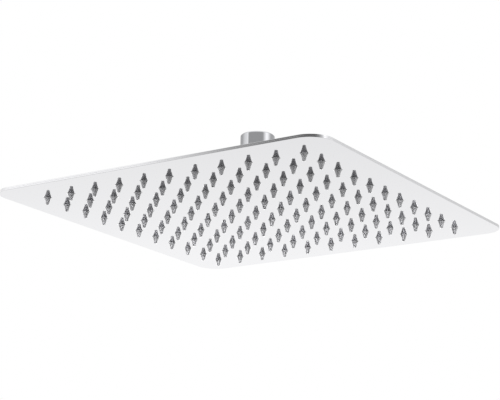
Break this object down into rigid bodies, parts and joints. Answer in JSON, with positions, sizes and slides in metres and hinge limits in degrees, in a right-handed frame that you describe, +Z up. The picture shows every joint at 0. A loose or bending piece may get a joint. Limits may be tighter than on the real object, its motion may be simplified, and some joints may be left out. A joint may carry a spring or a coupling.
{
  "type": "rain shower head",
  "caption": "Thin square polished-steel rain shower head with a grid of soft spray nozzles and a threaded inlet that tilts and turns on a ball joint.",
  "frame": {"origin": "centre of the inlet's mouth, where the pipe screws in", "axes": "+Z up along the inlet's axis; X and Y along the sides of the square plate, which hangs below the origin"},
  "size_m": [0.254, 0.254, 0.0599],
  "materials": {
    "polished_steel": "mirror-polished stainless steel",
    "chromed_brass": "chrome plate on brass",
    "screen_steel": "plain stainless steel",
    "grey_silicone": "satin moulded silicone",
    "black_rubber": "matt moulded rubber",
    "white_acetal": "smooth moulded acetal"
  },
  "bodies": {
    "inlet": {"ball_inlet": "chromed_brass", "inlet_washer": "black_rubber", "filter_screen": "screen_steel"},
    "seat": {"ball_seat": "white_acetal"},
    "head": {"face_plate": "polished_steel", "back_plate": "polished_steel", "head_socket": "polished_steel", "collar_nut": "chromed_brass", "friction_ring": "white_acetal", "seat_seal": "black_rubber", "nozzle_row_01": "grey_silicone", "nozzle_row_02": "grey_silicone", "nozzle_row_03": "grey_silicone", "nozzle_row_04": "grey_silicone", "nozzle_row_05": "grey_silicone", "nozzle_row_06": "grey_silicone", "nozzle_row_07": "grey_silicone", "nozzle_row_08": "grey_silicone", "nozzle_row_09": "grey_silicone", "nozzle_row_10": "grey_silicone", "nozzle_row_11": "grey_silicone"}
  },
  "joints": [
    {"name": "head_tilt", "type": "hinge", "parent": "inlet", "child": "seat", "pos_m": [0, 0, -0.0335], "axis": [1, 0, 0], "range_deg": [-15, 15]},
    {"name": "head_turn", "type": "hinge", "parent": "seat", "child": "head", "pos_m": [0, 0, -0.0335], "axis": [0, 0, 1], "continuous": true}
  ]
}
